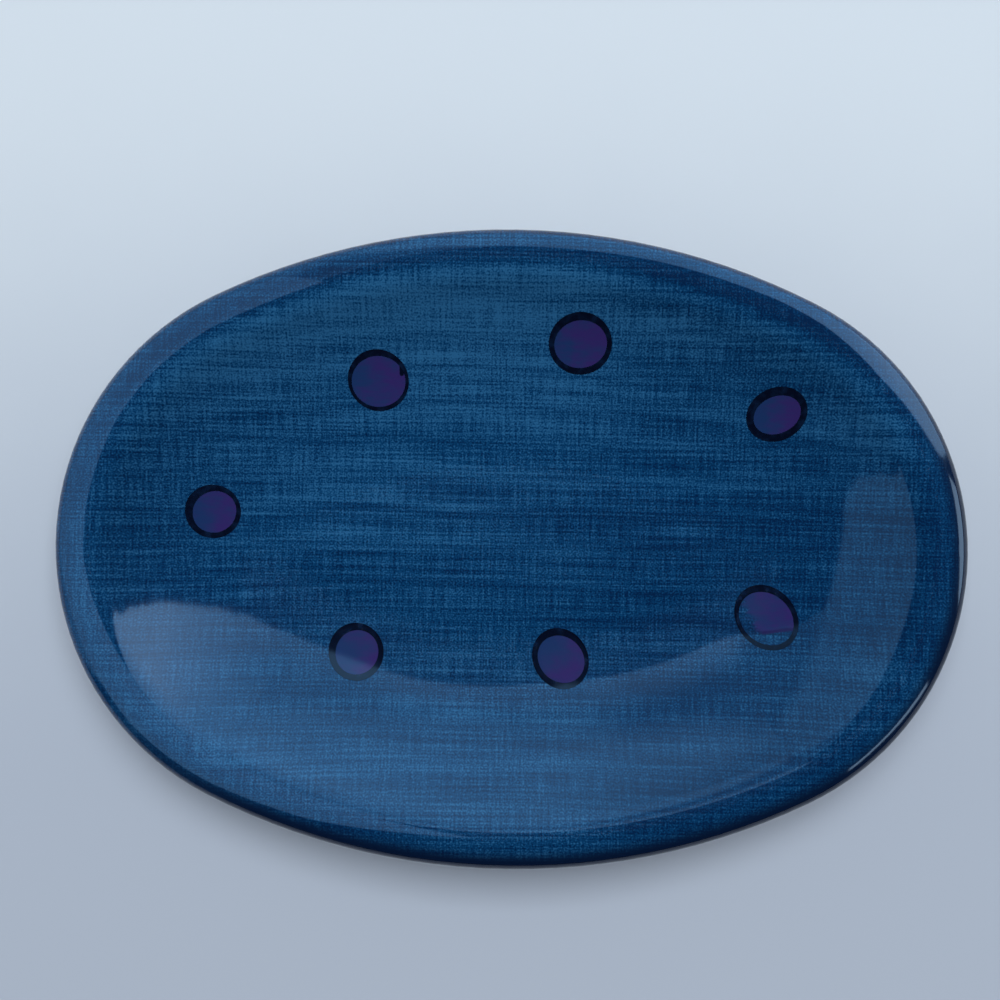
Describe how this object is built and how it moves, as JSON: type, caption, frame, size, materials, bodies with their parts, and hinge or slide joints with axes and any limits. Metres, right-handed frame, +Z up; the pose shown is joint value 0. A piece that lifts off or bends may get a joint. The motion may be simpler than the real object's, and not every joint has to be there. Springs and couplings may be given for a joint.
{
  "type": "soap dish",
  "caption": "Shallow oval soap dish with a rounded lip and a low foot ring, lacquered wood with outlined painted spots round the basin.",
  "frame": {"origin": "under the middle of the dish, on the plane of the foot ring's flat sole", "axes": "+X along the dish's length, +Y across its width, +Z up out of the basin"},
  "size_m": [0.14, 0.0982, 0.0205],
  "materials": {
    "core_wood": "sanded, bare",
    "blue_lacquer": "brushed pearl lacquer under a glossy clear coat",
    "plain_lacquer": "glossy lacquer",
    "spot_paint": "glossy paint",
    "outline_paint": "glossy paint"
  },
  "bodies": {
    "root": {"wooden_core": "core_wood", "upper_lacquer": "blue_lacquer", "underside_lacquer": "plain_lacquer", "base_lacquer": "plain_lacquer", "spot_1": "spot_paint", "spot_2": "spot_paint", "spot_3": "spot_paint", "spot_4": "spot_paint", "spot_5": "spot_paint", "spot_6": "spot_paint", "spot_7": "spot_paint", "spot_outline_1": "outline_paint", "spot_outline_2": "outline_paint", "spot_outline_3": "outline_paint", "spot_outline_4": "outline_paint", "spot_outline_5": "outline_paint", "spot_outline_6": "outline_paint", "spot_outline_7": "outline_paint"}
  },
  "joints": []
}
